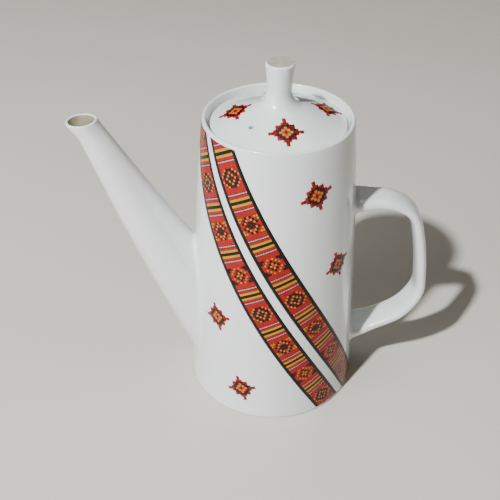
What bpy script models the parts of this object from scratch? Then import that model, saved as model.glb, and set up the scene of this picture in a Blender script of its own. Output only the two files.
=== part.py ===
"""Porcelain coffee pot with a long straight spout, a loop handle and a lift-off lid.

The pot stands on z = 0 with its spout along -X and its handle along +X. Lengths are in millimetres
and become metres when a mesh is made. Every sub-part is laid out about the pot's own axis, and all
of them hang on one empty that moves that axis so that the origin lies under the middle of the pot.
"""

import math

import bmesh
import bpy
from mathutils import Vector

MM = 0.001
GAP = 0.3                 # joint line between two neighbouring pieces
MERGE = 0.01              # points closer than this are one point

# Body: a nearly straight cone with a slightly convex side
BODY_HEIGHT = 193.8
BASE_RADIUS = 55.9
RIM_RADIUS = 44.0
SIDE_BELLY = 1.0          # how far the side stands out from a straight cone at half height
SIDE_BELLY_SKEW = 2.6     # how much of that belly sits towards the rim
WALL = 3.6
BODY_SEGMENTS = 64

# Foot
FOOT_ROUNDING = 1.4
FOOT_RING_WIDTH = 4.0
FOOT_RECESS = 2.4
FLOOR_THICKNESS = 4.2
FLOOR_FILLET = 3.5

# Rim and the gallery that holds the lid
LIP_ROUNDING = 1.2
GALLERY_TOP_RADIUS = 41.7
LEDGE_HEIGHT = 186.8
LEDGE_OUTER_RADIUS = 40.2
THROAT_RADIUS = 34.6
THROAT_BOTTOM = 180.5
SHOULDER_BOTTOM = 172.0

# Lid: a conical dome with a rounded edge, and a flange that centres it in the throat
LID_RADIUS = 39.5
LID_EDGE_HEIGHT = 3.5
LID_EDGE_ROUNDING = 1.2
DOME_SLOPE = 0.39
DOME_THICKNESS = 3.3
FILLET_RADIUS = 14.2      # inside here the dome sweeps up to the knob
LAND_RADIUS = 9.8         # flat land that carries the knob
LAND_RISE = 1.45          # how far the land stands above the straight dome
FLANGE_OUTER_RADIUS = 33.9
FLANGE_INNER_RADIUS = 30.9
FLANGE_DEPTH = 9.5
LID_TRAVEL_CLEARANCE = 0.3
VENT_RADIUS = 1.3
VENT_DISTANCE = 24.3
VENT_AZIMUTH = -131.0

# Knob: a waisted stem with a flat top
KNOB_HEIGHT = 22.8
KNOB_FOOT_RADIUS = 9.4
KNOB_SHANK_RADIUS = 8.4
KNOB_WAIST_RADIUS = 7.2
KNOB_TOP_RADIUS = 8.4
KNOB_SEGMENTS = 32

# Spout: a straight tapering tube; x and z of its centre line
SPOUT_ROOT = Vector((-50.2, 67.2))
SPOUT_TIP = Vector((-111.8, 190.6))
SPOUT_BOW = 1.5           # how far the middle of the centre line lies out from a straight line
SPOUT_ROOT_RADIUS = 22.7
SPOUT_TIP_RADIUS = 7.1
SPOUT_ROOT_WALL = 3.2
SPOUT_TIP_WALL = 1.9
SPOUT_START = -0.42       # the tube starts inside the body and is cut back to its wall
SPOUT_SEGMENTS = 28
MOUTH_TILT = 5.8          # degrees by which the mouth rises towards the pot
MOUTH_START = 0.82        # the rings turn from square to level between here and the tip
LIP_START = 0.92
LIP_FLARE = 1.6
LIP_FLARE_LEAN = 1.2      # extra flare on the pouring side
POUR_HOLE_HEIGHT = 60.0
POUR_HOLE_HALF_WIDTH = 11.0
POUR_HOLE_HALF_HEIGHT = 21.0

# Handle: a flat strap bent into a loop; x and z of its centre line
HANDLE_LINE = (
    (40.0, 136.0),
    (55.0, 137.0),
    (71.0, 136.4),
    (84.6, 128.4),
    (90.9, 111.0),
    (95.4, 84.0),
    (95.6, 66.0),
    (86.0, 49.6),
    (70.0, 39.8),
    (54.0, 33.0),
    (42.0, 29.0),
)
HANDLE_THICKNESS = 7.2
HANDLE_WIDTH = 20.6
HANDLE_SQUARENESS = 2.6   # 2 is an ellipse, larger is squarer
HANDLE_FLARE = 0.35       # extra size where the strap meets the body
HANDLE_FLARE_LENGTH = 16.0
HANDLE_STEPS = 3
HANDLE_SEGMENTS = 16

# Decoration: ceramic transfers, laid out on the unrolled side
FRONT_AZIMUTH = -93.0     # degrees; the layout's x = 0 runs up the side here
BACK_AZIMUTH = FRONT_AZIMUTH + 180.0
TRANSFER_LIFT = 0.35
TRANSFER_THICKNESS = 0.25
BAND_ANGLE = 28.4         # degrees from upright
BAND_WIDTH = 17.7
BAND_TOP = 191.8
BAND_BOTTOM = 1.8
BAND_COLUMNS = 4
BAND_ROWS = 18
LEFT_BAND = (39.6, 38.3, 3.1)       # offset of the centre at the top and at the base, and its bow
RIGHT_BAND = (61.8, 61.6, 3.3)
STAR_CELL = 1.56
STAR_EDGES = (-6.5, -4.5, -3.5, -1.5, -0.5, 0.5, 1.5, 3.5, 4.5, 6.5)
STAR_SQUARE = 3.5
STAR_ARM = (1.5, 4.5)
STAR_PRONG = (0.5, 6.5)
SIDE_STARS = (            # x and height on the unrolled side, and turn in degrees
    (23.1, 166.9, 18.5),
    (42.3, 114.2, 18.5),
    (-36.9, 74.4, 15.5),
    (-19.0, 22.8, 18.5),
)
LID_STARS = (             # distance from the axis, and azimuth and turn in degrees
    (24.4, -82.6, 0.0),
    (24.8, 177.7, -9.0),
    (28.9, 15.0, 14.0),
    (25.0, 87.0, 0.0),
)

# The pot's axis, so that the origin lies under the middle of the whole pot
AXIS_X = 11.2

PORCELAIN = ((0.80, 0.82, 0.81), 0.12)      # colour and roughness
RED_INK = ((0.58, 0.06, 0.03), 0.25)


def clear_scene():
    for thing in list(bpy.data.objects):
        bpy.data.objects.remove(thing, do_unlink=True)


def make_material(name, finish):
    colour, roughness = finish
    material = bpy.data.materials.new(name)
    material.use_nodes = True
    shader = material.node_tree.nodes["Principled BSDF"]
    shader.inputs["Base Color"].default_value = (*colour, 1.0)
    shader.inputs["Roughness"].default_value = roughness
    shader.inputs["Metallic"].default_value = 0.0
    return material


def add_object(name, bm, parent, finish=PORCELAIN):
    """Turn a bmesh in millimetres into a named object in metres."""
    bmesh.ops.scale(bm, vec=Vector((MM, MM, MM)), verts=bm.verts)
    bmesh.ops.recalc_face_normals(bm, faces=bm.faces)
    mesh = bpy.data.meshes.new(name)
    bm.to_mesh(mesh)
    bm.free()
    mesh.shade_smooth()
    mesh.set_sharp_from_angle(angle=math.radians(35))
    mesh.materials.append(make_material(name + "_finish", finish))
    thing = bpy.data.objects.new(name, mesh)
    thing.parent = parent
    bpy.context.collection.objects.link(thing)
    return thing


def make_cutter(name, bm, parent):
    cutter = add_object(name, bm, parent)
    cutter.hide_render = True
    cutter.display_type = "WIRE"
    return cutter


def cut(thing, cutter):
    boolean = thing.modifiers.new(cutter.name, "BOOLEAN")
    boolean.operation = "DIFFERENCE"
    boolean.solver = "EXACT"
    boolean.object = cutter


def arc(centre, radius, start, end, steps):
    """Points (r, z) on an arc, with its angles in degrees from the outward direction."""
    angles = [math.radians(start + (end - start) * i / steps) for i in range(steps + 1)]
    return [(centre[0] + radius * math.cos(a), centre[1] + radius * math.sin(a)) for a in angles]


def turned(profile, segments):
    """A closed solid from a profile (r, z) that starts and ends on the axis."""
    bm = bmesh.new()
    points = [bm.verts.new((r, 0.0, z)) for r, z in profile]
    lines = [bm.edges.new(pair) for pair in zip(points, points[1:])]
    bmesh.ops.spin(bm, geom=points + lines, cent=(0, 0, 0), axis=(0, 0, 1), dvec=(0, 0, 0),
                   angle=math.tau, steps=segments, use_merge=True)
    bmesh.ops.remove_doubles(bm, verts=bm.verts, dist=MERGE)
    return bm


def bridge(bm, ring_a, ring_b):
    for i in range(len(ring_a)):
        j = (i + 1) % len(ring_a)
        bm.faces.new((ring_a[i], ring_a[j], ring_b[j], ring_b[i]))


def lofted(rings, closed):
    """A solid through rings of points: capped at both ends, or closed back on its first ring."""
    bm = bmesh.new()
    loops = [[bm.verts.new(point) for point in ring] for ring in rings]
    for ring_a, ring_b in zip(loops, loops[1:]):
        bridge(bm, ring_a, ring_b)
    if closed:
        bridge(bm, loops[-1], loops[0])
    else:
        bm.faces.new(loops[0])
        bm.faces.new(list(reversed(loops[-1])))
    return bm


def side_radius(z):
    """Outer radius of the body at a height."""
    t = min(max(z / BODY_HEIGHT, 0.0), 1.0)
    belly = SIDE_BELLY * 4 * t * (1 - t) * (1 + SIDE_BELLY_SKEW * (t - 0.5))
    return BASE_RADIUS + (RIM_RADIUS - BASE_RADIUS) * t + belly


def side_points(bottom, top, rows, inset):
    heights = [bottom + (top - bottom) * i / rows for i in range(rows + 1)]
    return [(side_radius(z) - inset, z) for z in heights]


def body_profile():
    floor_top = FOOT_RECESS + FLOOR_THICKNESS
    fillet_top = floor_top + FLOOR_FILLET
    fillet_radius = side_radius(fillet_top) - WALL - FLOOR_FILLET
    foot_outer = BASE_RADIUS - FOOT_ROUNDING
    foot_inner = foot_outer - FOOT_RING_WIDTH
    lip_centre = RIM_RADIUS - LIP_ROUNDING
    lip_base = BODY_HEIGHT - LIP_ROUNDING

    inside = [(0.0, floor_top)]
    inside += arc((fillet_radius, fillet_top), FLOOR_FILLET, -90, 0, 4)
    inside += side_points(fillet_top + 25, SHOULDER_BOTTOM, 4, WALL)
    inside += [(THROAT_RADIUS, THROAT_BOTTOM), (THROAT_RADIUS, LEDGE_HEIGHT)]
    inside += [(LEDGE_OUTER_RADIUS, LEDGE_HEIGHT), (GALLERY_TOP_RADIUS, lip_base)]
    lip = [(lip_centre, BODY_HEIGHT)] + arc((lip_centre, lip_base), LIP_ROUNDING, 45, 0, 1)
    outside = list(reversed(side_points(FOOT_ROUNDING, lip_base - 3, 8, 0.0)))
    foot = arc((foot_outer, FOOT_ROUNDING), FOOT_ROUNDING, -45, -90, 1)
    foot += [(foot_inner, 0.0), (foot_inner - FOOT_RECESS / 2, FOOT_RECESS), (0.0, FOOT_RECESS)]
    return inside + lip + outside + foot


def clearance_profile():
    """The body's outer form, larger by the joint line, that the spout and handle are cut back to."""
    above = BODY_HEIGHT + 60
    below = -60.0
    outline = list(reversed(side_points(0.0, BODY_HEIGHT, 9, -GAP)))
    start = [(0.0, above), (RIM_RADIUS + GAP, above)]
    return start + outline + [(BASE_RADIUS + GAP, below), (0.0, below)]


def pour_hole():
    """An oval cutter along X through the wall behind the spout's root."""
    rings = []
    for x in (-64.0, -40.0):
        ring = []
        for i in range(SPOUT_SEGMENTS):
            angle = math.tau * i / SPOUT_SEGMENTS
            y = POUR_HOLE_HALF_WIDTH * math.cos(angle)
            z = POUR_HOLE_HEIGHT + POUR_HOLE_HALF_HEIGHT * math.sin(angle)
            ring.append((x, y, z))
        rings.append(ring)
    return lofted(rings, closed=False)


def smoothstep(low, high, value):
    t = min(max((value - low) / (high - low), 0.0), 1.0)
    return t * t * (3 - 2 * t)


def spout_ring(t, wall):
    """One ring of the spout at t (0 at the root, 1 at the mouth), inside the outer skin by wall."""
    axis = SPOUT_TIP - SPOUT_ROOT
    heading = math.atan2(axis.y, axis.x)
    outward = Vector((-axis.y, axis.x)).normalized()
    bow = SPOUT_BOW * 4 * t * (1 - t)
    centre = SPOUT_ROOT + axis * t + outward * bow
    square = heading - math.pi / 2
    level = math.radians(MOUTH_TILT)
    plane = square + (level - square) * smoothstep(MOUTH_START, 1.0, t)
    stretch = 1 / math.sin(heading - plane)
    radius = SPOUT_ROOT_RADIUS + (SPOUT_TIP_RADIUS - SPOUT_ROOT_RADIUS) * t - wall
    lip = smoothstep(LIP_START, 1.0, t) ** 2
    ring = []
    for i in range(SPOUT_SEGMENTS):
        angle = math.tau * i / SPOUT_SEGMENTS
        local = radius + lip * (LIP_FLARE - LIP_FLARE_LEAN * math.cos(angle))
        across = local * math.sin(angle)
        along = local * stretch * math.cos(angle)
        ring.append((centre.x + along * math.cos(plane), across, centre.y + along * math.sin(plane)))
    return ring


def spout_steps():
    plain = [SPOUT_START + (MOUTH_START - SPOUT_START) * i / 5 for i in range(6)]
    return plain + [0.88, LIP_START, 0.96, 0.98, 1.0]


def make_spout(parent, clearance):
    steps = spout_steps()
    outer = [spout_ring(t, 0.0) for t in steps]
    inner = []
    for t in reversed(steps):
        wall = SPOUT_ROOT_WALL + (SPOUT_TIP_WALL - SPOUT_ROOT_WALL) * max(t, 0.0)
        inner.append(spout_ring(t, wall))
    spout = add_object("spout", lofted(outer + inner, closed=True), parent)
    cut(spout, clearance)


def spline(points, steps):
    """Points on a smooth curve through the given points."""
    points = [Vector(p) for p in points]
    ends = [points[0] * 2 - points[1]] + points + [points[-1] * 2 - points[-2]]
    curve = []
    for a, b, c, d in zip(ends, ends[1:], ends[2:], ends[3:]):
        for i in range(steps):
            t = i / steps
            curve.append(0.5 * (2 * b + (c - a) * t + (2 * a - 5 * b + 4 * c - d) * t ** 2
                                + (3 * b - a - 3 * c + d) * t ** 3))
    return curve + [points[-1]]


def superellipse(angle, power):
    cos, sin = math.cos(angle), math.sin(angle)
    return (math.copysign(abs(cos) ** (2 / power), cos), math.copysign(abs(sin) ** (2 / power), sin))


def make_handle(parent, clearance):
    line = spline(HANDLE_LINE, HANDLE_STEPS)
    rings = []
    for i, point in enumerate(line):
        tangent = (line[min(i + 1, len(line) - 1)] - line[max(i - 1, 0)]).normalized()
        normal = Vector((-tangent.y, tangent.x))
        reach = point.x - side_radius(point.y)
        flare = 1 + HANDLE_FLARE * (1 - smoothstep(0.0, HANDLE_FLARE_LENGTH, reach))
        ring = []
        for k in range(HANDLE_SEGMENTS):
            thick, wide = superellipse(math.tau * k / HANDLE_SEGMENTS, HANDLE_SQUARENESS)
            offset = normal * (thick * flare * HANDLE_THICKNESS / 2)
            across = wide * flare ** 0.5 * HANDLE_WIDTH / 2
            ring.append((point.x + offset.x, across, point.y + offset.y))
        rings.append(ring)
    handle = add_object("handle", lofted(rings, closed=False), parent)
    cut(handle, clearance)


def lid_top():
    return LEDGE_HEIGHT + LID_TRAVEL_CLEARANCE + LID_EDGE_HEIGHT


def dome_height(r):
    sweep = max(FILLET_RADIUS - r, 0.0) / (FILLET_RADIUS - LAND_RADIUS)
    return lid_top() + DOME_SLOPE * (LID_RADIUS - LID_EDGE_ROUNDING - r) + LAND_RISE * sweep ** 2


def lid_profile():
    seat = LEDGE_HEIGHT + LID_TRAVEL_CLEARANCE
    top = lid_top()
    edge = LID_RADIUS - LID_EDGE_ROUNDING
    flange_foot = seat - FLANGE_DEPTH
    shoulder = dome_height(FLANGE_INNER_RADIUS) - DOME_THICKNESS
    land_under = dome_height(LAND_RADIUS) - DOME_THICKNESS

    under = [(0.0, land_under), (LAND_RADIUS, land_under), (FLANGE_INNER_RADIUS - 2, shoulder)]
    flange = [(FLANGE_INNER_RADIUS, shoulder - 2), (FLANGE_INNER_RADIUS, flange_foot)]
    flange += [(FLANGE_OUTER_RADIUS - 0.8, flange_foot), (FLANGE_OUTER_RADIUS, flange_foot + 1)]
    flange += [(FLANGE_OUTER_RADIUS, seat), (edge, seat)]
    rim = arc((edge, seat + LID_EDGE_ROUNDING), LID_EDGE_ROUNDING, -45, 0, 1)
    rim += arc((edge, top - LID_EDGE_ROUNDING), LID_EDGE_ROUNDING, 0, 65, 2)
    dome = [(r, dome_height(r)) for r in (edge - 1, 27.0, FILLET_RADIUS, 12.0, LAND_RADIUS)]
    return under + flange + rim + dome + [(0.0, dome_height(LAND_RADIUS))]


def make_vent_cutter(parent):
    azimuth = math.radians(VENT_AZIMUTH)
    x = VENT_DISTANCE * math.cos(azimuth)
    y = VENT_DISTANCE * math.sin(azimuth)
    rings = []
    for z in (lid_top() - 12, lid_top() + 14):
        angles = [math.tau * i / 12 for i in range(12)]
        rings.append([(x + VENT_RADIUS * math.cos(a), y + VENT_RADIUS * math.sin(a), z) for a in angles])
    return make_cutter("vent_cutter", lofted(rings, closed=False), parent)


def knob_profile():
    base = dome_height(LAND_RADIUS) + GAP
    top = base + KNOB_HEIGHT
    waist = base + 7.0
    stem = [(0.0, base), (KNOB_FOOT_RADIUS, base)]
    stem += [(KNOB_SHANK_RADIUS, base + 1.9), (KNOB_WAIST_RADIUS + 0.4, base + 4.0)]
    stem += [(KNOB_WAIST_RADIUS, waist), (KNOB_WAIST_RADIUS + 0.5, base + 13.5)]
    stem += [(KNOB_TOP_RADIUS, top - 1.6), (KNOB_TOP_RADIUS - 0.3, top - 0.6)]
    return stem + [(KNOB_TOP_RADIUS - 1.1, top), (0.0, top)]


def make_lid(parent):
    lid = add_object("lid", turned(lid_profile(), BODY_SEGMENTS), parent)
    cut(lid, make_vent_cutter(parent))
    add_object("lid_knob", turned(knob_profile(), KNOB_SEGMENTS), parent)


def on_side(x, y, front_azimuth, lift):
    """The point on the body's side that lies at (x, y) on the unrolled cone, raised by lift."""
    slope = (BASE_RADIUS - RIM_RADIUS) / BODY_HEIGHT
    secant = math.hypot(1, slope)
    apex = BASE_RADIUS / slope * secant
    distance = math.hypot(x, apex - y)
    azimuth = math.radians(front_azimuth) + math.atan2(x, apex - y) * secant / slope
    z = (apex - distance) / secant
    radius = side_radius(z) + lift
    return Vector((radius * math.cos(azimuth), radius * math.sin(azimuth), z))


def on_dome(across, outward, centre, lift):
    """The point on the lid's dome at a place measured from a star's centre, raised by lift."""
    centre_radius, azimuth = centre
    cosine = 1 / math.hypot(1, DOME_SLOPE)
    distance = centre_radius / cosine + outward
    radius = math.hypot(across, distance) * cosine
    angle = math.radians(azimuth) + math.atan2(across, distance) / cosine
    rise = lift / cosine
    return Vector((radius * math.cos(angle), radius * math.sin(angle), dome_height(radius) + rise))


def make_transfer(name, cells, place, parent):
    """A thin skin: cells are faces of flat points, and place(point, lift) puts one on the surface."""
    bm = bmesh.new()
    layers = []
    for lift in (TRANSFER_LIFT, TRANSFER_LIFT + TRANSFER_THICKNESS):
        flat_points = sorted({point for cell in cells for point in cell})
        layers.append({point: bm.verts.new(place(point, lift)) for point in flat_points})
    for layer in layers:
        for cell in cells:
            bm.faces.new([layer[point] for point in cell])
    sides = {}
    for cell in cells:
        for pair in zip(cell, cell[1:] + cell[:1]):
            sides.setdefault(frozenset(pair), []).append(pair)
    for uses in sides.values():
        if len(uses) == 1:
            a, b = uses[0]
            bm.faces.new((layers[0][a], layers[0][b], layers[1][b], layers[1][a]))
    return add_object(name, bm, parent, RED_INK)


def along_band(offset, z):
    """How far along the band a line at an offset across it reaches a height on the side."""
    slope = (BASE_RADIUS - RIM_RADIUS) / BODY_HEIGHT
    secant = math.hypot(1, slope)
    apex = BASE_RADIUS / slope * secant
    angle = math.radians(BAND_ANGLE)
    distance = apex - z * secant
    across = offset - apex * math.sin(angle)
    return math.sqrt(distance ** 2 - across ** 2) - apex * math.cos(angle)


def make_band(name, layout, front_azimuth, parent):
    top_offset, bottom_offset, bow = layout
    angle = math.radians(BAND_ANGLE)

    def place(point, lift):
        row, column = point
        t = row / BAND_ROWS
        side_step = BAND_WIDTH * (column / BAND_COLUMNS - 0.5)
        top = along_band(top_offset + side_step, BAND_TOP)
        bottom = along_band(bottom_offset + side_step, BAND_BOTTOM)
        along = top + (bottom - top) * t
        offset = top_offset + (bottom_offset - top_offset) * t + side_step - bow * 4 * t * (1 - t)
        x = along * math.sin(angle) + offset * math.cos(angle)
        y = -along * math.cos(angle) + offset * math.sin(angle)
        return on_side(x, y, front_azimuth, lift)

    # Each quad is split along the diagonal that runs nearly upright, which bends least
    cells = []
    for row in range(BAND_ROWS):
        for column in range(BAND_COLUMNS):
            upper_right = (row, column + 1)
            lower_left = (row + 1, column)
            cells.append(((row, column), upper_right, lower_left))
            cells.append((upper_right, (row + 1, column + 1), lower_left))
    make_transfer(name, cells, place, parent)


def star_cells():
    """The stepped rosette: a square, with a short arm and a prong on each side."""
    cells = []
    for left, right in zip(STAR_EDGES, STAR_EDGES[1:]):
        for low, high in zip(STAR_EDGES, STAR_EDGES[1:]):
            near = min(max(-left, right), max(-low, high))
            far = max(abs(left), abs(right), abs(low), abs(high))
            in_square = far <= STAR_SQUARE
            in_arm = near <= STAR_ARM[0] and far <= STAR_ARM[1]
            in_prong = near <= STAR_PRONG[0] and far <= STAR_PRONG[1]
            if in_square or in_arm or in_prong:
                cells.append(((left, low), (right, low), (right, high), (left, high)))
    return cells


def turn_star(point, turn):
    angle = math.radians(turn)
    x = point[0] * STAR_CELL
    y = point[1] * STAR_CELL
    return (x * math.cos(angle) - y * math.sin(angle), x * math.sin(angle) + y * math.cos(angle))


def make_side_star(name, star, front_azimuth, parent):
    centre_x, centre_y, turn = star

    def place(point, lift):
        x, y = turn_star(point, turn)
        return on_side(centre_x + x, centre_y + y, front_azimuth, lift)

    make_transfer(name, star_cells(), place, parent)


def make_lid_star(name, star, parent):
    distance, azimuth, turn = star

    def place(point, lift):
        across, outward = turn_star(point, turn)
        return on_dome(across, outward, (distance, azimuth), lift)

    make_transfer(name, star_cells(), place, parent)


def make_decoration(parent):
    for side, azimuth in (("front", FRONT_AZIMUTH), ("back", BACK_AZIMUTH)):
        make_band(f"{side}_band_left", LEFT_BAND, azimuth, parent)
        make_band(f"{side}_band_right", RIGHT_BAND, azimuth, parent)
        for number, star in enumerate(SIDE_STARS, start=1):
            make_side_star(f"{side}_star_{number}", star, azimuth, parent)


def main():
    clear_scene()
    pot = bpy.data.objects.new("pot_axis", None)
    pot.location = (AXIS_X * MM, 0.0, 0.0)
    bpy.context.collection.objects.link(pot)
    lid_axis = bpy.data.objects.new("lid_axis", None)
    lid_axis.parent = pot
    bpy.context.collection.objects.link(lid_axis)

    clearance = make_cutter("wall_clearance", turned(clearance_profile(), BODY_SEGMENTS), pot)
    hole = make_cutter("pour_hole_cutter", pour_hole(), pot)
    body = add_object("pot_body", turned(body_profile(), BODY_SEGMENTS), pot)
    cut(body, hole)
    make_spout(pot, clearance)
    make_handle(pot, clearance)
    make_decoration(pot)
    make_lid(lid_axis)
    for number, star in enumerate(LID_STARS, start=1):
        make_lid_star(f"lid_star_{number}", star, lid_axis)


main()
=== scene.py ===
"""Looks of the porcelain coffee pot: glazed ceramic pieces, printed transfers, floor, light, camera.

The script works in millimetres about the pot's own axis, as the CAD does, and goes to the shared
frame in metres when a mesh is made. A profile is a list of (radius, height).
"""

import math

import bmesh
import bpy
from mathutils import Matrix, Vector


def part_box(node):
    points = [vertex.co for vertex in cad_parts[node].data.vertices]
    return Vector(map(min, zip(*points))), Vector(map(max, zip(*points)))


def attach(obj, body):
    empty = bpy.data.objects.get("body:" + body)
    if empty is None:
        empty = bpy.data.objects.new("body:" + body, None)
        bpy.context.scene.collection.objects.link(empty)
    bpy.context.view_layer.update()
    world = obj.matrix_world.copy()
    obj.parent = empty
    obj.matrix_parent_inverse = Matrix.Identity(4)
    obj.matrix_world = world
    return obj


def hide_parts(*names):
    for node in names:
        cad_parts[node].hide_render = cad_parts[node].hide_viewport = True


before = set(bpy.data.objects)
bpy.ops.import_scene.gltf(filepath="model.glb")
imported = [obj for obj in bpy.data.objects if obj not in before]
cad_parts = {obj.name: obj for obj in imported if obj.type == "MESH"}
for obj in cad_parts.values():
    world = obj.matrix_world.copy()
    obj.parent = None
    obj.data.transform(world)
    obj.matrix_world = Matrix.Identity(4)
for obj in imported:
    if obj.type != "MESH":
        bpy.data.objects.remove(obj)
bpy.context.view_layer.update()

MM = 0.001

body_low, body_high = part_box("pot_body")
lid_low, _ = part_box("lid")
_, knob_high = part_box("lid_knob")

# Body
AXIS_X = (body_low[0] + body_high[0]) / 2
BODY_HEIGHT = body_high[2] / MM
BASE_RADIUS = 55.9
RIM_RADIUS = 44.0
SIDE_BELLY = 1.0          # how far the side bulges past a straight cone
SIDE_BELLY_SKEW = 2.6     # moves the bulge up
WALL = 3.6
ROUND = 256               # points round the body and the lid
INNER_FLOOR = 6.6
INNER_FILLET = 3.5
INNER_WALL_TOP = 168.0
THROAT_RADIUS = 34.6
THROAT_LOW = 180.8
THROAT_HIGH = 186.0
THROAT_ROUND = 0.8
LEDGE_RADIUS = 39.3       # where the ledge under the lid turns up into the gallery's wall
LEDGE_FILLET = 1.4
RIM_ROUND = 1.15
FOOT_ROUND = 1.4
FOOT_RING = 5.2           # from the base's edge to the ring's inner edge
FOOT_RING_ROUND = 0.7
FOOT_RECESS = 6.5         # from the base's edge to the recess under the pot
FOOT_RECESS_HEIGHT = 2.4
BARE_FOOT_HEIGHT = 0.25   # the foot carries no glaze below this
POUR_HOLE_HEIGHT = 60.0
POUR_HOLE_SIZE = (11.0, 21.0)
POUR_HOLE_REACH = (-66.0, -38.0)

# Spout, in the plane of x and z; t runs from 0 at its root to 1 at its tip
SPOUT_ROOT = Vector((-50.2, 67.2))
SPOUT_TIP = Vector((-111.8, 190.6))
SPOUT_BOW = 1.5
SPOUT_ROOT_RADIUS = 22.7
SPOUT_TIP_RADIUS = 7.1
SPOUT_ROOT_WALL = 3.2
SPOUT_TIP_WALL = 1.7
SPOUT_INSIDE = -0.42      # all of the spout is inside the body here
SPOUT_OUTSIDE = 0.6       # and all of it is outside here
SPOUT_FILLET = 4.0
SPOUT_FILLET_REACH = 1.25
MOUTH_TILT = 3.8
MOUTH_START = 0.82        # from here on the sections turn level
MOUTH_ROUND = 0.9         # room left for the rounding of the mouth's edge
LIP_START = 0.88
LIP_FLARE = 1.48
LIP_FLARE_LEAN = 1.4      # flares the pouring side more
SPOUT_ROUND = 112
SPOUT_STEPS = 72
MOUTH_STEPS = 12
BORE_STEPS = 40
SPOUT_FILLET_STEPS = 10

# Where spout and handle meet the body
SKIRT_SINK = 0.04         # a fillet's edge lies this deep under the glaze
ROOT_SINK = 1.2           # a root ends this deep in the body's wall

# Handle, in the plane of x and z
HANDLE_LINE = (
    (40.0, 136.0),
    (55.0, 137.0),
    (71.0, 136.4),
    (84.6, 128.4),
    (90.9, 111.0),
    (95.4, 84.0),
    (95.6, 66.0),
    (86.0, 49.6),
    (70.0, 39.8),
    (54.0, 33.0),
    (42.0, 29.0),
)
HANDLE_LAST = len(HANDLE_LINE) - 1.0
HANDLE_POINT_GAP = 15.5   # between the line's points near the body
HANDLE_ROOT_POINTS = 3.0  # the handle has left the body within this many points
HANDLE_THICKNESS = 7.2
HANDLE_WIDTH = 20.6
HANDLE_SQUARENESS = 2.6   # 2 is an ellipse
HANDLE_FLARE = 0.35
HANDLE_FLARE_LENGTH = 16.0
HANDLE_FILLET = 3.2
HANDLE_FILLET_REACH = 1.2
HANDLE_ROUND = 56
HANDLE_STEPS = 120
HANDLE_FILLET_STEPS = 8

# Lid
FLANGE_DEPTH = 9.5
LID_SEAT = lid_low[2] / MM + FLANGE_DEPTH
LID_EDGE_HEIGHT = 3.5
LID_RADIUS = 39.5
LID_FLAT_RADIUS = 38.3    # where the dome's line is LID_EDGE_HEIGHT above the seat
LID_LOW_ROUND = 1.2
LID_HIGH_ROUND = 1.5
LID_WALL = 3.3
LID_CORNER_WALL = 3.6
DOME_SLOPE = 0.39
DOME_TOP_RADIUS = 8.0
UNDER_FLAT_RADIUS = 9.8
UNDER_FLAT_WALL = 2.0
UNDER_EDGE_RADIUS = 28.2
FLANGE_INNER = 30.9
FLANGE_OUTER = 33.9
FLANGE_INNER_ROUND = 0.6
FLANGE_OUTER_ROUND = 0.7
FLANGE_FILLET = 0.6
VENT_RADIUS = 1.4
VENT_FLARE = 0.4
VENT_DEPTH = 9.0
VENT_ABOVE = 1.5
VENT_DISTANCE = 24.3
VENT_AZIMUTH = -131.0

# Knob
FILLET_RADIUS = 11.0      # of the sweep from the dome up to the knob
KNOB_WAIST = 7.2
KNOB_TOP_RADIUS = 8.4
KNOB_TOP = knob_high[2] / MM
KNOB_TOP_ROUND = 1.1
KNOB_FLARE_LENGTH = 9.0
KNOB_SINK = 1.0
KNOB_ROUND = 128

# Printed transfers
FRONT_AZIMUTH = -93.0
BACK_AZIMUTH = FRONT_AZIMUTH + 180.0
PRINT_LIFT = 0.045
PRINT_THICKNESS = 0.07
STAR_CELL = 1.56
PRONG_WIDTH = 1.4         # in cells
PRONG_TIP = 6.4           # in cells from the star's centre
SIDE_STARS = (            # x and y on the unrolled side, and a turn
    (23.1, 166.9, 18.5),
    (42.3, 114.2, 18.5),
    (-36.9, 74.4, 15.5),
    (-19.0, 22.8, 18.5),
)
LID_STARS = (             # distance from the axis, azimuth, and a turn
    (24.4, -82.6, 0.0),
    (24.8, 177.7, -9.0),
    (28.9, 15.0, 14.0),
    (25.0, 87.0, 0.0),
)
BAND_ANGLE = 28.4
BAND_CELL = 1.49          # across the band
BAND_HALF_CELLS = 4
BAND_BORDER = 2.15
CELL_MIDDLE = 0.38        # half the width of a light cell's mark, in cells
BAND_TOP = 191.8
BAND_BOTTOM = 1.8
BAND_START = -187.0
BAND_END = 3.0
LEFT_BAND = (39.6, 38.3, 3.1)     # offset at the top and at the bottom, and bow between them
RIGHT_BAND = (61.8, 61.6, 3.3)
ROW = 1.613               # along the band
PERIOD = 18               # rows from one group of stripes to the next
FIRST_STRIPE = -181.2     # where the first whole group of stripes has its centre
MOTIF_HALF_ROWS = 3
STRIPE_EDGES = (-5.5, -4.5, -3.5, -3.24, -2.78, -2.5, -1.5, -0.6,
                0.6, 1.5, 2.5, 2.78, 3.24, 3.5, 4.5, 5.5)
STRIPE_INKS = ("red", "red", "crimson", "white", "crimson", "red", "yellow", "black",
               "yellow", "red", "crimson", "white", "crimson", "red", "red")

# Camera, in metres and radians
CAMERA_PLACE = (-0.01033, -0.41089, 0.40883)
CAMERA_YAW = 0.01414
CAMERA_PITCH = 0.64888
CAMERA_ROLL = -0.00870
CAMERA_LENS = 57.68


# ---------------------------------------------------------------- shapes in millimetres

def spaced(start, end, steps):
    """Evenly spaced values from start to end, with both ends."""
    return [start + (end - start) * i / steps for i in range(steps + 1)]


def around(count, offset=0.0):
    """Evenly spaced angles once round, in radians."""
    return [math.tau * (i + offset) / count for i in range(count)]


def smoothstep(low, high, value):
    t = min(max((value - low) / (high - low), 0.0), 1.0)
    return t * t * (3 - 2 * t)


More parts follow.
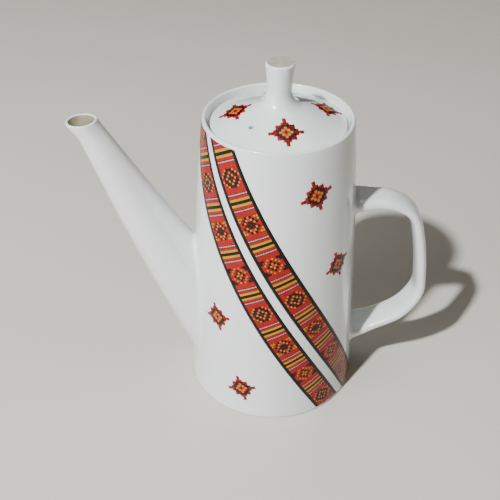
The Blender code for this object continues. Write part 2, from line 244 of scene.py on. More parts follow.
def side_radius(z):
    """The radius of the body's glazed side at a height."""
    t = min(max(z / BODY_HEIGHT, 0.0), 1.0)
    belly = SIDE_BELLY * 4 * t * (1 - t) * (1 + SIDE_BELLY_SKEW * (t - 0.5))
    return BASE_RADIUS + (RIM_RADIUS - BASE_RADIUS) * t + belly


def dome_height(r):
    """The height of the lid's cone at a radius."""
    return LID_SEAT + LID_EDGE_HEIGHT + DOME_SLOPE * (LID_FLAT_RADIUS - r)


def arc(centre, radius, start, end, steps):
    """Points on an arc of a profile; start and end are angles in degrees."""
    angles = [math.radians(degrees) for degrees in spaced(start, end, steps)]
    return [(centre[0] + radius * math.cos(a), centre[1] + radius * math.sin(a)) for a in angles]


def ramp(start, end, steps):
    """Points from one point of a profile straight to another, without the first."""
    return list(zip(spaced(start[0], end[0], steps), spaced(start[1], end[1], steps)))[1:]


def bezier(start, control, end, steps):
    return [start * (1 - t) ** 2 + control * (2 * t * (1 - t)) + end * t ** 2
            for t in spaced(0.0, 1.0, steps)]


def sweep_to(start, control, end, steps):
    """Points of a profile's curved stretch, without the first."""
    points = bezier(Vector(start), Vector(control), Vector(end), steps)
    return [(p.x, p.y) for p in points[1:]]


def lathe(profile, count):
    """A closed solid from a profile that starts and ends on the axis."""
    bm = bmesh.new()
    rings = []
    for r, z in profile:
        if r < 1e-6:
            rings.append([bm.verts.new((0.0, 0.0, z))])
        else:
            rings.append([bm.verts.new((r * math.cos(a), r * math.sin(a), z)) for a in around(count)])
    for low, high in zip(rings, rings[1:]):
        for i in range(count):
            j = (i + 1) % count
            if len(low) == 1:
                bm.faces.new((low[0], high[i], high[j]))
            elif len(high) == 1:
                bm.faces.new((low[i], low[j], high[0]))
            else:
                bm.faces.new((low[i], low[j], high[j], high[i]))
    return bm


def loft(rings, closed):
    """A solid through rings of points: closed on itself, or capped at both ends."""
    bm = bmesh.new()
    loops = [[bm.verts.new(point) for point in ring] for ring in rings]
    pairs = list(zip(loops, loops[1:]))
    if closed:
        pairs.append((loops[-1], loops[0]))
    for low, high in pairs:
        for i in range(len(low)):
            j = (i + 1) % len(low)
            bm.faces.new((low[i], low[j], high[j], high[i]))
    if not closed:
        bm.faces.new(loops[0])
        bm.faces.new(list(reversed(loops[-1])))
    return bm


def make_object(name, bm, materials, smooth_angle=None):
    """A mesh object in the shared frame, from a bmesh in millimetres about the pot's axis."""
    bmesh.ops.scale(bm, vec=Vector((MM, MM, MM)), verts=bm.verts)
    bmesh.ops.translate(bm, vec=Vector((AXIS_X, 0.0, 0.0)), verts=bm.verts)
    bmesh.ops.recalc_face_normals(bm, faces=bm.faces)
    mesh = bpy.data.meshes.new(name)
    bm.to_mesh(mesh)
    bm.free()
    mesh.shade_smooth()
    if smooth_angle:
        mesh.set_sharp_from_angle(angle=math.radians(smooth_angle))
    for material in materials:
        mesh.materials.append(material)
    thing = bpy.data.objects.new(name, mesh)
    bpy.context.collection.objects.link(thing)
    return thing


def cut(thing, cutter, smooth_angle):
    """Cut one object by another, for good, and remove the cutter."""
    boolean = thing.modifiers.new("cut", "BOOLEAN")
    boolean.operation = "DIFFERENCE"
    boolean.solver = "EXACT"
    boolean.object = cutter
    graph = bpy.context.evaluated_depsgraph_get()
    mesh = bpy.data.meshes.new_from_object(thing.evaluated_get(graph))
    thing.modifiers.clear()
    thing.data = mesh
    mesh.shade_smooth()
    mesh.set_sharp_from_angle(angle=math.radians(smooth_angle))
    bpy.data.objects.remove(cutter, do_unlink=True)


def keep(piece, body, slot, *nodes):
    """Hand a finished piece to the frame: its body, and the nodes it replaces; the slot is not used."""
    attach(piece, body)
    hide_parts(*nodes)


# ---------------------------------------------------------------- materials

def new_material(name):
    material = bpy.data.materials.new(name)
    material.use_nodes = True
    tree = material.node_tree
    return material, tree, tree.nodes["Principled BSDF"]


def noise(tree, scale, detail, offset):
    """Noise in object space; scale is in features per metre."""
    place = tree.nodes.new("ShaderNodeTexCoord")
    shift = tree.nodes.new("ShaderNodeMapping")
    shift.inputs["Location"].default_value = (offset, offset * 0.7, offset * 0.3)
    texture = tree.nodes.new("ShaderNodeTexNoise")
    texture.inputs["Scale"].default_value = scale
    texture.inputs["Detail"].default_value = detail
    tree.links.new(place.outputs["Object"], shift.inputs["Vector"])
    tree.links.new(shift.outputs["Vector"], texture.inputs["Vector"])
    return texture.outputs["Fac"]


def map_range(tree, source, source_range, result_range):
    node = tree.nodes.new("ShaderNodeMapRange")
    node.inputs["From Min"].default_value = source_range[0]
    node.inputs["From Max"].default_value = source_range[1]
    node.inputs["To Min"].default_value = result_range[0]
    node.inputs["To Max"].default_value = result_range[1]
    tree.links.new(source, node.inputs["Value"])
    return node.outputs["Result"]


def uneven(tree, low, high, scale, detail, offset):
    """A value that wanders between low and high; 0.3 to 0.7 is the noise's own usual range."""
    return map_range(tree, noise(tree, scale, detail, offset), (0.3, 0.7), (low, high))


def blend_colours(tree, factor, first, second):
    """A mix of two colours, each a tuple or another node's output."""
    node = tree.nodes.new("ShaderNodeMix")
    node.data_type = "RGBA"
    for socket, colour in ((node.inputs[6], first), (node.inputs[7], second)):
        if isinstance(colour, tuple):
            socket.default_value = (*colour, 1.0)
        else:
            tree.links.new(colour, socket)
    tree.links.new(factor, node.inputs[0])
    return node.outputs[2]


def add_bump(tree, height, strength, distance):
    node = tree.nodes.new("ShaderNodeBump")
    node.inputs["Strength"].default_value = strength
    node.inputs["Distance"].default_value = distance
    tree.links.new(height, node.inputs["Height"])
    return node


def glaze_bump(tree, shader, strength):
    """The glaze's faint waves and its finer orange peel."""
    waves = add_bump(tree, noise(tree, 28.0, 1.0, 3.0), strength, 0.004)
    peel = add_bump(tree, noise(tree, 420.0, 1.0, 5.0), strength * 0.6, 0.0003)
    tree.links.new(waves.outputs["Normal"], peel.inputs["Normal"])
    tree.links.new(peel.outputs["Normal"], shader.inputs["Normal"])


def iron_specks(tree):
    """How much of the specks' colour shows: 0.55 in the middle of a few tiny spots, else 0."""
    place = tree.nodes.new("ShaderNodeTexCoord")
    cells = tree.nodes.new("ShaderNodeTexVoronoi")
    cells.inputs["Scale"].default_value = 75.0
    tree.links.new(place.outputs["Object"], cells.inputs["Vector"])
    return map_range(tree, cells.outputs["Distance"], (0.022, 0.014), (0.0, 0.55))


def make_porcelain():
    """Cool white glaze with faint clouds, a greyish bloom and a few iron specks."""
    material, tree, shader = new_material("glazed_porcelain")
    cloud = uneven(tree, 0.0, 1.0, 16.0, 3.0, 1.0)
    white = blend_colours(tree, cloud, (0.775, 0.805, 0.805), (0.815, 0.835, 0.825))
    bloom = uneven(tree, 0.0, 0.12, 160.0, 4.0, 9.0)
    toned = blend_colours(tree, bloom, white, (0.66, 0.67, 0.64))
    spotted = blend_colours(tree, iron_specks(tree), toned, (0.20, 0.16, 0.12))
    tree.links.new(spotted, shader.inputs["Base Color"])
    tree.links.new(uneven(tree, 0.16, 0.25, 45.0, 3.0, 7.0), shader.inputs["Roughness"])
    shader.inputs["Coat Weight"].default_value = 0.75
    shader.inputs["Coat Roughness"].default_value = 0.045
    shader.inputs["IOR"].default_value = 1.5
    glaze_bump(tree, shader, 0.035)
    return material


def make_biscuit():
    """Bare ceramic, where the foot was wiped free of glaze."""
    material, tree, shader = new_material("bare_foot")
    grain = uneven(tree, 0.0, 1.0, 900.0, 4.0, 2.0)
    colour = blend_colours(tree, grain, (0.62, 0.59, 0.52), (0.72, 0.69, 0.62))
    tree.links.new(colour, shader.inputs["Base Color"])
    shader.inputs["Roughness"].default_value = 0.75
    bump = add_bump(tree, grain, 0.35, 0.0002)
    tree.links.new(bump.outputs["Normal"], shader.inputs["Normal"])
    return material


def make_ink(name, colour, worn):
    """Fired enamel whose density varies, in patches and in fine grain."""
    material, tree, shader = new_material("ink_" + name)
    patchy = blend_colours(tree, uneven(tree, 0.0, 1.0, 130.0, 3.0, 4.0), colour, worn)
    grainy = blend_colours(tree, uneven(tree, 0.0, 0.35, 1500.0, 2.0, 8.0), patchy, worn)
    tree.links.new(grainy, shader.inputs["Base Color"])
    tree.links.new(uneven(tree, 0.24, 0.36, 200.0, 2.0, 6.0), shader.inputs["Roughness"])
    shader.inputs["Specular IOR Level"].default_value = 0.22
    glaze_bump(tree, shader, 0.035)
    return material


def make_stain_and_shade_glaze(name, dark, light):
    """Darker glaze: coffee stain with painted shade inside the spout, and painted shade on the knob's
    top.
    """
    material, tree, shader = new_material(name)
    colour = blend_colours(tree, uneven(tree, 0.0, 1.0, 240.0, 4.0, 2.5), dark, light)
    tree.links.new(colour, shader.inputs["Base Color"])
    tree.links.new(uneven(tree, 0.30, 0.45, 300.0, 3.0, 7.5), shader.inputs["Roughness"])
    glaze_bump(tree, shader, 0.06)
    return material


def make_floor_paint():
    material, tree, shader = new_material("pale_floor")
    cloud = uneven(tree, 0.0, 1.0, 3.0, 2.0, 1.0)
    colour = blend_colours(tree, cloud, (0.60, 0.565, 0.50), (0.625, 0.59, 0.525))
    tree.links.new(colour, shader.inputs["Base Color"])
    shader.inputs["Roughness"].default_value = 0.6
    return material


PORCELAIN = make_porcelain()
# Painted shade: a darker glaze on the knob's flat top, which stands in for the top being less lit.
KNOB_TOP_SHADE = make_stain_and_shade_glaze("knob_top_painted_shade", (0.34, 0.325, 0.26), (0.45, 0.435, 0.36))
# Coffee stain with painted shade: the spout's inside is darker from stain and from the shade inside it.
SPOUT_STAIN_AND_SHADE = make_stain_and_shade_glaze("coffee_stain_and_painted_shade", (0.36, 0.31, 0.20), (0.48, 0.43, 0.31))
BISCUIT = make_biscuit()
INK_COLOURS = {           # fresh and worn
    "red": ((0.35, 0.008, 0.004), (0.28, 0.007, 0.004)),
    "brick": ((0.27, 0.009, 0.006), (0.21, 0.008, 0.006)),
    "black": ((0.003, 0.002, 0.0025), (0.007, 0.004, 0.004)),
    "yellow": ((0.50, 0.255, 0.004), (0.43, 0.21, 0.004)),
    "orange": ((0.42, 0.026, 0.005), (0.35, 0.020, 0.004)),
    "gold": ((0.58, 0.215, 0.020), (0.50, 0.165, 0.016)),
    "crimson": ((0.085, 0.003, 0.005), (0.06, 0.0025, 0.004)),
    "white": ((0.46, 0.39, 0.43), (0.36, 0.28, 0.33)),
}
INK_MATERIALS = [make_ink(name, *colours) for name, colours in INK_COLOURS.items()]
INK = {name: index for index, name in enumerate(INK_COLOURS)}


# ---------------------------------------------------------------- body

def inner_wall():
    """From the middle of the inner floor up to the throat."""
    wall_start = INNER_FLOOR + INNER_FILLET
    fillet_centre = (side_radius(wall_start) - WALL - INNER_FILLET, wall_start)
    points = [(r, INNER_FLOOR) for r in (0.0, 10.0, 20.0, 30.0, 40.0)]
    points += arc(fillet_centre, INNER_FILLET, -90, 0, 8)
    points += [(side_radius(z) - WALL, z) for z in spaced(12.0, INNER_WALL_TOP, 39)]
    shoulder = points[-1]
    for z in spaced(shoulder[1], THROAT_LOW, 16)[1:]:
        ease = smoothstep(shoulder[1], THROAT_LOW, z)
        points.append((shoulder[0] + (THROAT_RADIUS - shoulder[0]) * ease, z))
    return points + ramp(points[-1], (THROAT_RADIUS, THROAT_HIGH), 4)


def gallery(wall_top):
    """From the throat over the lid's ledge up to the rim."""
    ledge = THROAT_HIGH + THROAT_ROUND
    points = arc((THROAT_RADIUS + THROAT_ROUND, THROAT_HIGH), THROAT_ROUND, 180, 90, 5)[1:]
    points += ramp(points[-1], (LEDGE_RADIUS, ledge), 3)
    points += arc((LEDGE_RADIUS, ledge + LEDGE_FILLET), LEDGE_FILLET, -90, -8, 7)[1:]
    return points + ramp(points[-1], wall_top, 5)


def foot():
    """From the side's lower end round the foot ring to the middle of the recess."""
    ring_centre = (BASE_RADIUS - FOOT_RING, FOOT_RING_ROUND)
    points = arc((BASE_RADIUS - FOOT_ROUND, FOOT_ROUND), FOOT_ROUND, -8, -90, 8)
    points += ramp(points[-1], (ring_centre[0], 0.0), 3)
    points += arc(ring_centre, FOOT_RING_ROUND, -90, -180, 5)[1:]
    points += ramp(points[-1], (BASE_RADIUS - FOOT_RECESS, FOOT_RECESS_HEIGHT), 3)
    return points + [(r, FOOT_RECESS_HEIGHT) for r in (40.0, 30.0, 20.0, 10.0, 0.0)]


def body_profile():
    rim_centre = (RIM_RADIUS - RIM_ROUND, BODY_HEIGHT - RIM_ROUND)
    rim = arc(rim_centre, RIM_ROUND, 180, 0, 18)[1:]
    side = [(side_radius(z), z) for z in spaced(rim_centre[1] - 1.2, 2.2, 72)]
    return inner_wall() + gallery((rim_centre[0] - RIM_ROUND, rim_centre[1])) + rim + side + foot()


def make_body():
    body = make_object("pot_body_porcelain", lathe(body_profile(), ROUND), [PORCELAIN, BISCUIT])
    wide, high = POUR_HOLE_SIZE
    rings = [[(x, wide * math.cos(a), POUR_HOLE_HEIGHT + high * math.sin(a)) for a in around(64)]
             for x in POUR_HOLE_REACH]
    cut(body, make_object("pour_hole", loft(rings, closed=False), [PORCELAIN]), 40)
    for face in body.data.polygons:
        if face.center.z < BARE_FOOT_HEIGHT * MM:
            face.material_index = 1
    keep(body, "pot", "porcelain", "pot_body")


def standing_out(point, sink):
    """How far a point stands out from the body's side, sunk by a depth."""
    return math.hypot(point.x, point.y) - side_radius(point.z) + sink


def where_it_leaves(curve, low, high, sink=0.0):
    """The parameter at which a curve comes out through the body's side."""
    for _ in range(40):
        middle = (low + high) / 2
        if standing_out(curve(middle), sink) > 0:
            high = middle
        else:
            low = middle
    return high


# ---------------------------------------------------------------- spout

def spout_point(t, angle, wall):
    """A point of the spout's section at t, under its skin by the wall."""
    axis = SPOUT_TIP - SPOUT_ROOT
    heading = math.atan2(axis.y, axis.x)
    outward = Vector((-axis.y, axis.x)).normalized()
    centre = SPOUT_ROOT + axis * t + outward * (SPOUT_BOW * 4 * t * (1 - t))
    square = heading - math.pi / 2
    level = math.radians(MOUTH_TILT)
    plane = square + (level - square) * smoothstep(MOUTH_START, 1.0, t)
    stretch = 1 / math.sin(heading - plane)
    radius = SPOUT_ROOT_RADIUS + (SPOUT_TIP_RADIUS - SPOUT_ROOT_RADIUS) * t - wall
    lip = smoothstep(LIP_START, 1.0, t) ** 2
    local = radius + lip * (LIP_FLARE - LIP_FLARE_LEAN * math.cos(angle))
    along = local * stretch * math.cos(angle)
    return Vector((centre.x + along * math.cos(plane), local * math.sin(angle),
                   centre.y + along * math.sin(plane)))


def mouth_edge(outer, inner):
    """Half a turn from the skin's last point over the mouth's edge to the bore's first."""
    tilt = math.radians(MOUTH_TILT)
    up = Vector((-math.sin(tilt), 0, math.cos(tilt)))
    middle = (outer + inner) / 2
    rounding = (outer - inner).length / 2
    return [middle + (outer - middle) * math.cos(a) + up * rounding * math.sin(a)
            for a in spaced(0.0, math.pi, MOUTH_STEPS)[1:-1]]


def spout_track(angle):
    """One line along the spout: fillet, skin, mouth, bore, and back to the fillet inside the wall."""
    length = (SPOUT_TIP - SPOUT_ROOT).length
    end = 1 - MOUTH_ROUND / length

    def skin(t):
        return spout_point(t, angle, 0.0)

    def wide(t):
        return spout_point(t, angle, -SPOUT_FILLET)

    def bore(t):
        wall = SPOUT_ROOT_WALL + (SPOUT_TIP_WALL - SPOUT_ROOT_WALL) * max(t, 0.0)
        return spout_point(t, angle, wall)

    joint = where_it_leaves(skin, SPOUT_INSIDE, SPOUT_OUTSIDE)
    skirt = where_it_leaves(wide, SPOUT_INSIDE, SPOUT_OUTSIDE, SKIRT_SINK)
    buried = where_it_leaves(wide, SPOUT_INSIDE, SPOUT_OUTSIDE, ROOT_SINK)
    root = where_it_leaves(bore, SPOUT_INSIDE, SPOUT_OUTSIDE, ROOT_SINK)
    start = joint + SPOUT_FILLET * SPOUT_FILLET_REACH / length
    track = bezier(wide(skirt), skin(joint), skin(start), SPOUT_FILLET_STEPS)
    track += [skin(t) for t in spaced(start, end, SPOUT_STEPS)[1:]]
    track += mouth_edge(skin(end), bore(end))
    track += [bore(t) for t in spaced(end, root, BORE_STEPS)]
    return track + [wide(buried)]


def make_spout():
    rings = [list(ring) for ring in zip(*[spout_track(angle) for angle in around(SPOUT_ROUND)])]
    spout = make_object("spout_porcelain", loft(rings, closed=True), [PORCELAIN, SPOUT_STAIN_AND_SHADE], 50)
    inner_edge = SPOUT_FILLET_STEPS + SPOUT_STEPS + MOUTH_STEPS - 2
    # The bore's faces get the coffee stain with painted shade.
    for face in spout.data.polygons:
        if face.index // SPOUT_ROUND >= inner_edge:
            face.material_index = 1
    keep(spout, "pot", "porcelain", "spout")


# ---------------------------------------------------------------- handle

def spline_at(points, place):
    """A point on a smooth curve through the given points; place counts in points."""
    last = len(points) - 1
    index = min(max(int(place), 0), last - 1)
    t = place - index
    before = points[index - 1] if index > 0 else points[0] * 2 - points[1]
    after = points[index + 2] if index + 2 <= last else points[last] * 2 - points[last - 1]
    a, b, c, d = before, points[index], points[index + 1], after
    return 0.5 * (2 * b + (c - a) * t + (2 * a - 5 * b + 4 * c - d) * t ** 2
                  + (3 * b - a - 3 * c + d) * t ** 3)


def handle_point(place, angle, grow):
    """A point of the handle's rounded oblong section, which widens towards the body."""
    points = [Vector(p) for p in HANDLE_LINE]
    step = 0.12
    ahead = spline_at(points, min(place + step, HANDLE_LAST))
    tangent = (ahead - spline_at(points, max(place - step, 0.0))).normalized()
    normal = Vector((-tangent.y, tangent.x))
    centre = spline_at(points, place)
    reach = centre.x - side_radius(centre.y)
    flare = 1 + HANDLE_FLARE * (1 - smoothstep(0.0, HANDLE_FLARE_LENGTH, reach))
    cos, sin = math.cos(angle), math.sin(angle)
    power = 2 / HANDLE_SQUARENESS
    thick = math.copysign(abs(cos) ** power, cos) * (flare * HANDLE_THICKNESS / 2 + grow)
    wide = math.copysign(abs(sin) ** power, sin) * (flare ** 0.5 * HANDLE_WIDTH / 2 + grow)
    return Vector((centre.x + normal.x * thick, wide, centre.y + normal.y * thick))


def handle_root(angle, first, toward):
    """The fillet at one end of the handle, and the place on the line where it ends."""
    inner = first + toward * HANDLE_ROOT_POINTS

    def skin(place):
        return handle_point(place, angle, 0.0)

    def wide(place):
        return handle_point(place, angle, HANDLE_FILLET)

    joint = where_it_leaves(skin, first, inner)
    skirt = where_it_leaves(wide, first, inner, SKIRT_SINK)
    buried = where_it_leaves(wide, first, inner, ROOT_SINK)
    start = joint + toward * HANDLE_FILLET * HANDLE_FILLET_REACH / HANDLE_POINT_GAP
    fillet = bezier(wide(skirt), skin(joint), skin(start), HANDLE_FILLET_STEPS)
    return [wide(buried)] + fillet, start


def handle_track(angle):
    """One line along the handle, from inside the body's wall to inside it again."""
    top, top_start = handle_root(angle, 0.0, 1)
    low, low_start = handle_root(angle, HANDLE_LAST, -1)
    between = spaced(top_start, low_start, HANDLE_STEPS)[1:-1]
    return top + [handle_point(place, angle, 0.0) for place in between] + low[::-1]


def make_handle():
    tracks = [handle_track(angle) for angle in around(HANDLE_ROUND, 0.5)]
    rings = [list(ring) for ring in zip(*tracks)]
    handle = make_object("handle_porcelain", loft(rings, closed=False), [PORCELAIN], 60)
    keep(handle, "pot", "porcelain", "handle")


# ---------------------------------------------------------------- lid and knob

def lid_underside():
    """From the middle of the hollow under the dome out to the flange."""
    flat = dome_height(UNDER_FLAT_RADIUS) - UNDER_FLAT_WALL
    points = [(0.0, flat), (5.0, flat), (UNDER_FLAT_RADIUS, flat)]
    points += ramp(points[-1], (UNDER_EDGE_RADIUS, dome_height(UNDER_EDGE_RADIUS) - LID_WALL), 10)
    corner = (FLANGE_INNER, dome_height(FLANGE_INNER) - LID_CORNER_WALL)
    return points + sweep_to(points[-1], corner, (FLANGE_INNER, LID_SEAT - 1.0), 8)


def flange(start):
    """From the underside down round the flange and up to the seat."""
    low = LID_SEAT - FLANGE_DEPTH
    inner_centre = (FLANGE_INNER + FLANGE_INNER_ROUND, low + FLANGE_INNER_ROUND)
    outer_centre = (FLANGE_OUTER - FLANGE_OUTER_ROUND, low + FLANGE_OUTER_ROUND)
    seat_centre = (FLANGE_OUTER + FLANGE_FILLET, LID_SEAT - FLANGE_FILLET)
    points = ramp(start, (FLANGE_INNER, inner_centre[1]), 4)
    points += arc(inner_centre, FLANGE_INNER_ROUND, 180, 270, 5)[1:]
    points += ramp(points[-1], (outer_centre[0], low), 2)
    points += arc(outer_centre, FLANGE_OUTER_ROUND, -90, 0, 5)[1:]
    points += ramp(points[-1], (FLANGE_OUTER, seat_centre[1]), 4)
    return points + arc(seat_centre, FLANGE_FILLET, 180, 90, 4)[1:]


def lid_edge(start):
    """From the seat round the lid's edge to where the dome begins."""
    low_centre = (LID_RADIUS - LID_LOW_ROUND, LID_SEAT + LID_LOW_ROUND)
    high_r = LID_RADIUS - LID_HIGH_ROUND
    high_centre = (high_r, dome_height(high_r) - LID_HIGH_ROUND * math.hypot(1, DOME_SLOPE))
    points = ramp(start, (low_centre[0], LID_SEAT), 3)
    points += arc(low_centre, LID_LOW_ROUND, -90, 0, 7)[1:]
    return points + arc(high_centre, LID_HIGH_ROUND, 0, 90 - math.degrees(math.atan(DOME_SLOPE)), 9)


def lid_profile():
    profile = lid_underside()
    profile += flange(profile[-1])
    profile += lid_edge(profile[-1])
    dome_r, dome_z = profile[-1]
    top = (DOME_TOP_RADIUS, dome_z + DOME_SLOPE * (dome_r - DOME_TOP_RADIUS))
    return profile + ramp(profile[-1], top, 46) + [(0.0, top[1])]


def make_vent():
    """A drill with a flared mouth, square to the dome."""
    mouth = arc((VENT_RADIUS + VENT_FLARE, -VENT_FLARE), VENT_FLARE, 180, 90, 6)
    drill = [(0.0, -VENT_DEPTH), (VENT_RADIUS, -VENT_DEPTH)] + mouth
    drill += [(VENT_RADIUS + VENT_FLARE, VENT_ABOVE), (0.0, VENT_ABOVE)]
    bm = lathe(drill, 40)
    azimuth = math.radians(VENT_AZIMUTH)
    turn = Matrix.Rotation(azimuth, 4, "Z") @ Matrix.Rotation(math.atan(DOME_SLOPE), 4, "Y")
    place = Vector((VENT_DISTANCE * math.cos(azimuth), VENT_DISTANCE * math.sin(azimuth),
                    dome_height(VENT_DISTANCE)))
    bmesh.ops.transform(bm, matrix=Matrix.Translation(place) @ turn, verts=bm.verts)
    return make_object("vent", bm, [PORCELAIN])


def make_lid():
    lid = make_object("lid_porcelain", lathe(lid_profile(), ROUND), [PORCELAIN])
    cut(lid, make_vent(), 50)
    keep(lid, "lid", "porcelain", "lid")


def knob_profile():
    """A round stem that sweeps out to the dome at its foot and ends in a flat top."""
    slant = math.degrees(math.atan(DOME_SLOPE))
    touch = KNOB_WAIST + FILLET_RADIUS * (1 - math.sin(math.radians(slant)))
    foot_z = dome_height(touch) - KNOB_SINK
    centre = (KNOB_WAIST + FILLET_RADIUS,
              dome_height(touch) + FILLET_RADIUS * math.cos(math.radians(slant)))
    top_centre = (KNOB_TOP_RADIUS - KNOB_TOP_ROUND, KNOB_TOP - KNOB_TOP_ROUND)
    profile = [(0.0, foot_z), (touch - 0.5, foot_z)]
    profile += arc(centre, FILLET_RADIUS, 270 - slant, 180, 22)
    profile += sweep_to(profile[-1], (KNOB_WAIST + 0.15, KNOB_TOP - KNOB_FLARE_LENGTH),
                        (KNOB_TOP_RADIUS, top_centre[1]), 16)
    profile += arc(top_centre, KNOB_TOP_ROUND, 0, 90, 9)[1:]
    return profile + ramp(profile[-1], (0.0, KNOB_TOP), 4)


def make_knob():
    knob = make_object("lid_knob_porcelain", lathe(knob_profile(), KNOB_ROUND), [PORCELAIN, KNOB_TOP_SHADE], 60)
    # Painted shade: the flat top gets the darker glaze.
    for face in knob.data.polygons:
        if face.normal.z > 0.99:
            face.material_index = 1
    keep(knob, "lid", "porcelain", "lid_knob")


# ---------------------------------------------------------------- printed transfers

def on_side(x, y, front_azimuth, lift):
    """The point on the body's side that lies at (x, y) on the unrolled cone, raised by lift."""
    slope = (BASE_RADIUS - RIM_RADIUS) / BODY_HEIGHT
    secant = math.hypot(1, slope)
    apex = BASE_RADIUS / slope * secant
    distance = math.hypot(x, apex - y)
    azimuth = math.radians(front_azimuth) + math.atan2(x, apex - y) * secant / slope
    z = (apex - distance) / secant
    radius = side_radius(z) + lift
    return Vector((radius * math.cos(azimuth), radius * math.sin(azimuth), z))


def on_dome(across, outward, distance, azimuth, lift):
    """The point on the unrolled dome that lies off a star's centre, raised by lift."""
    cosine = 1 / math.hypot(1, DOME_SLOPE)
    reach = distance / cosine + outward
    radius = math.hypot(across, reach) * cosine
    angle = math.radians(azimuth) + math.atan2(across, reach) / cosine
    return Vector((radius * math.cos(angle), radius * math.sin(angle), dome_height(radius) + lift))


def rectangle(left, low, right, high):
    return ((left, low), (right, low), (right, high), (left, high))


def print_piece(name, cells, place, node, body):
    """A thin printed skin. Each cell is its outline on the flat and its ink."""
    bm = bmesh.new()
    corners = {}
    for outline, ink in cells:
        face = []
        for x, y in outline:
            key = (round(x, 4), round(y, 4))
            if key not in corners:
                corners[key] = bm.verts.new(place(x, y))
            face.append(corners[key])
        bm.faces.new(face).material_index = INK[ink]
    if body == "pot":
        for height, up in ((BAND_TOP, 1), (BAND_BOTTOM, -1)):
            bmesh.ops.bisect_plane(bm, geom=bm.verts[:] + bm.edges[:] + bm.faces[:],
                                   plane_co=(0, 0, height), plane_no=(0, 0, up), clear_outer=True)
    piece = make_object(name, bm, INK_MATERIALS)
    skin = piece.modifiers.new("thickness", "SOLIDIFY")
    skin.thickness = PRINT_THICKNESS * MM
    skin.offset = -1.0
    keep(piece, body, "transfer_ink", node)


def rosette_ink(i, j):
    """The ink of a cell in the scattered rosettes, or None outside them."""
    ring = abs(i) + abs(j)
    far = max(abs(i), abs(j))
    near = min(abs(i), abs(j))
    if far <= 3:
        return ("crimson", "orange", "gold", "crimson", "black", "brick", "brick")[ring]
    if far == 4 and near <= 1:
        return "brick"
    return None


def rosette_cells():
    """A star's cells, in cells from its centre, with a narrower prong at each of its four ends."""
    cells = []
    for i in range(-4, 5):
        for j in range(-4, 5):
            ink = rosette_ink(i, j)
            if ink:
                cells.append((rectangle(i - 0.5, j - 0.5, i + 0.5, j + 0.5), ink))
    prong = rectangle(4.5, -PRONG_WIDTH / 2, PRONG_TIP, PRONG_WIDTH / 2)
    for x, y in ((1, 0), (0, 1), (-1, 0), (0, -1)):
        cells.append(([(a * x - b * y, a * y + b * x) for a, b in prong], "brick"))
    return cells


def turned(x, y, turn):
    """From a star's cells to millimetres, turned in degrees."""
    angle = math.radians(turn)
    return (STAR_CELL * (x * math.cos(angle) - y * math.sin(angle)),
            STAR_CELL * (x * math.sin(angle) + y * math.cos(angle)))


def make_side_star(name, node, star, front_azimuth):
    centre_x, centre_y, turn = star

    def place(x, y):
        right, up = turned(x, y, turn)
        return on_side(centre_x + right, centre_y + up, front_azimuth, PRINT_LIFT)

    print_piece(name, rosette_cells(), place, node, "pot")


def make_lid_star(name, node, star):
    distance, azimuth, turn = star

    def place(x, y):
        across, outward = turned(x, y, turn)
        return on_dome(across, outward, distance, azimuth, PRINT_LIFT)

    print_piece(name, rosette_cells(), place, node, "lid")


def motif_ink(kind, i, j):
    """The ink of a cell in one of the band's three motifs; i is across and j along."""
    ring = abs(i) + abs(j)
    both = i != 0 and j != 0
    corner = both and ring >= 6
    if kind == 2:
        if corner or ring == 2:
            return "black"
        if ring == 4 and both:
            return "gold"
        return ("orange", "yellow")[ring] if ring < 2 else "red"
    if ring == 0:
        return "crimson"
    if ring == 1 or (ring == 4 and both):
        return "black"
    if kind == 0:
        if ring == 2 or (ring == 5 and both):
            return "gold"
        return "crimson" if ring == 3 else "red"
    if corner:
        return "yellow"
    if ring == 3 and abs(i) < 3:
        return "gold"
    if ring == 2:
        return "orange" if i == 0 else "crimson"
    return "red"


def cell_strips(centre):
    """A cell's three strips, in cells: low edge, high edge, and whether it's the cell's middle."""
    low, start, end, high = (centre + share for share in (-0.5, -CELL_MIDDLE, CELL_MIDDLE, 0.5))
    return (low, start, False), (start, end, True), (end, high, False)


def strips_along():
    """Strips along the band, from above its top to below its foot: edges in rows, and content.

    The content is the name of an ink, or the motif's kind, its row and whether it's a cell's middle.
    """
    strips = []
    for period in range(-1, 8):
        centre = period * PERIOD
        for low, high, ink in zip(STRIPE_EDGES, STRIPE_EDGES[1:], STRIPE_INKS):
            strips.append((centre + low, centre + high, ink))
        for j in range(-MOTIF_HALF_ROWS, MOTIF_HALF_ROWS + 1):
            for low, high, middle in cell_strips(centre + PERIOD / 2 + j):
                strips.append((low, high, (period % 3, j, middle)))
    return strips


def strips_across():
    """Strips across the band: edges in millimetres, cell number or None, and if it's a middle."""
    inner = (BAND_HALF_CELLS + 0.5) * BAND_CELL
    strips = []
    for column in range(-BAND_HALF_CELLS, BAND_HALF_CELLS + 1):
        for left, right, middle in cell_strips(column):
            strips.append((left * BAND_CELL, right * BAND_CELL, column, middle))
    for left, right in ((inner, inner + BAND_BORDER / 2), (inner + BAND_BORDER / 2, inner + BAND_BORDER)):
        strips += [(left, right, None, False), (-right, -left, None, False)]
    return strips


def band_ink(content, column, middle):
    """The ink where a strip along the band crosses one across it."""
    if column is None:
        return "black"
    if content == "white":
        return "white" if middle else "crimson"
    if isinstance(content, str):
        return content
    kind, row, row_middle = content
    ink = motif_ink(kind, column, row)
    if ink in ("gold", "yellow") and not (middle and row_middle):
        return "crimson"
    return ink


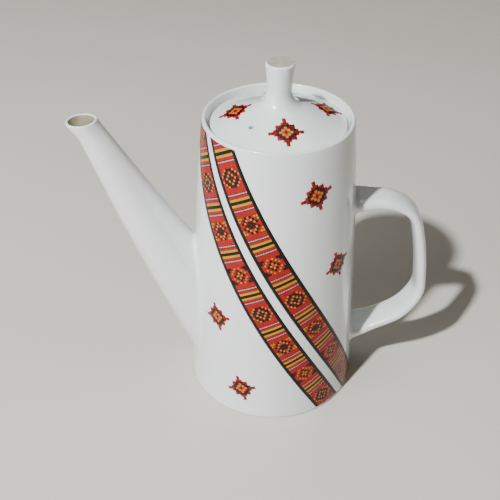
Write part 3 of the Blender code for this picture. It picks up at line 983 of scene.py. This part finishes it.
def make_band(name, node, layout, front_azimuth):
    top_offset, bottom_offset, bow = layout
    angle = math.radians(BAND_ANGLE)

    def place(across, along):
        t = (along - BAND_START) / (BAND_END - BAND_START)
        offset = top_offset + (bottom_offset - top_offset) * t - bow * 4 * t * (1 - t) + across
        x = along * math.sin(angle) + offset * math.cos(angle)
        y = -along * math.cos(angle) + offset * math.sin(angle)
        return on_side(x, y, front_azimuth, PRINT_LIFT)

    cells = []
    for low_row, high_row, content in strips_along():
        low = FIRST_STRIPE + low_row * ROW
        high = FIRST_STRIPE + high_row * ROW
        for left, right, column, middle in strips_across():
            cells.append((rectangle(left, low, right, high), band_ink(content, column, middle)))
    print_piece(name, cells, place, node, "pot")


def make_prints():
    for side, azimuth in (("front", FRONT_AZIMUTH), ("back", BACK_AZIMUTH)):
        make_band(f"{side}_band_left_print", f"{side}_band_left", LEFT_BAND, azimuth)
        make_band(f"{side}_band_right_print", f"{side}_band_right", RIGHT_BAND, azimuth)
        for number, star in enumerate(SIDE_STARS, start=1):
            make_side_star(f"{side}_star_{number}_print", f"{side}_star_{number}", star, azimuth)
    for number, star in enumerate(LID_STARS, start=1):
        make_lid_star(f"lid_star_{number}_print", f"lid_star_{number}", star)


# ---------------------------------------------------------------- floor, light, camera

def make_floor():
    bm = bmesh.new()
    bmesh.ops.create_grid(bm, x_segments=2, y_segments=2, size=4000.0)
    floor = make_object("floor", bm, [make_floor_paint()])


def add_area(name, place, target, size, power, colour):
    """A rectangular light that faces the target; places and sizes in metres, power in watts."""
    light = bpy.data.lights.new(name, "AREA")
    light.shape = "RECTANGLE"
    light.size, light.size_y = size
    light.energy = power
    light.color = colour
    lamp = bpy.data.objects.new(name, light)
    lamp.location = place
    aim = Vector(target) - Vector(place)
    lamp.rotation_euler = aim.to_track_quat("-Z", "Y").to_euler()
    bpy.context.collection.objects.link(lamp)


def make_lights():
    """A small bright key from the front left, a wide window beside it, and a soft top light."""
    world = bpy.data.worlds.new("studio")
    world.use_nodes = True
    background = world.node_tree.nodes["Background"]
    background.inputs["Color"].default_value = (1.0, 0.965, 0.87, 1.0)
    background.inputs["Strength"].default_value = 0.03
    bpy.context.scene.world = world
    middle = Vector((AXIS_X, 0.0, 0.1))
    key = middle + Vector((-0.42, -0.50, 0.755)) * 2.2
    add_area("key", key, middle, (0.09, 0.09), 88.0, (0.965, 0.985, 1.0))
    add_area("window", (-1.3, -0.8, 0.55), middle, (0.7, 0.9), 10.0, (0.88, 0.94, 1.0))
    add_area("top", (0.1, 0.3, 1.9), middle, (1.2, 1.2), 7.5, (1.0, 0.985, 0.93))


def make_camera():
    """The camera stands in front of the pot and looks down on it."""
    lens = bpy.data.cameras.new("camera")
    lens.sensor_width = 36.0
    lens.lens = CAMERA_LENS
    lens.clip_start = 0.01
    camera = bpy.data.objects.new("camera", lens)
    forward = Vector((math.sin(CAMERA_YAW) * math.cos(CAMERA_PITCH),
                      math.cos(CAMERA_YAW) * math.cos(CAMERA_PITCH),
                      -math.sin(CAMERA_PITCH)))
    level = Vector((math.cos(CAMERA_YAW), -math.sin(CAMERA_YAW), 0.0))
    down = forward.cross(level)
    right = level * math.cos(CAMERA_ROLL) + down * math.sin(CAMERA_ROLL)
    up = level * math.sin(CAMERA_ROLL) - down * math.cos(CAMERA_ROLL)
    turn = Matrix((right, up, -forward)).transposed().to_4x4()
    camera.matrix_world = Matrix.Translation(CAMERA_PLACE) @ turn
    bpy.context.collection.objects.link(camera)
    bpy.context.scene.camera = camera


make_camera()
make_body()
make_spout()
make_handle()
make_lid()
make_knob()
make_prints()
make_floor()
make_lights()
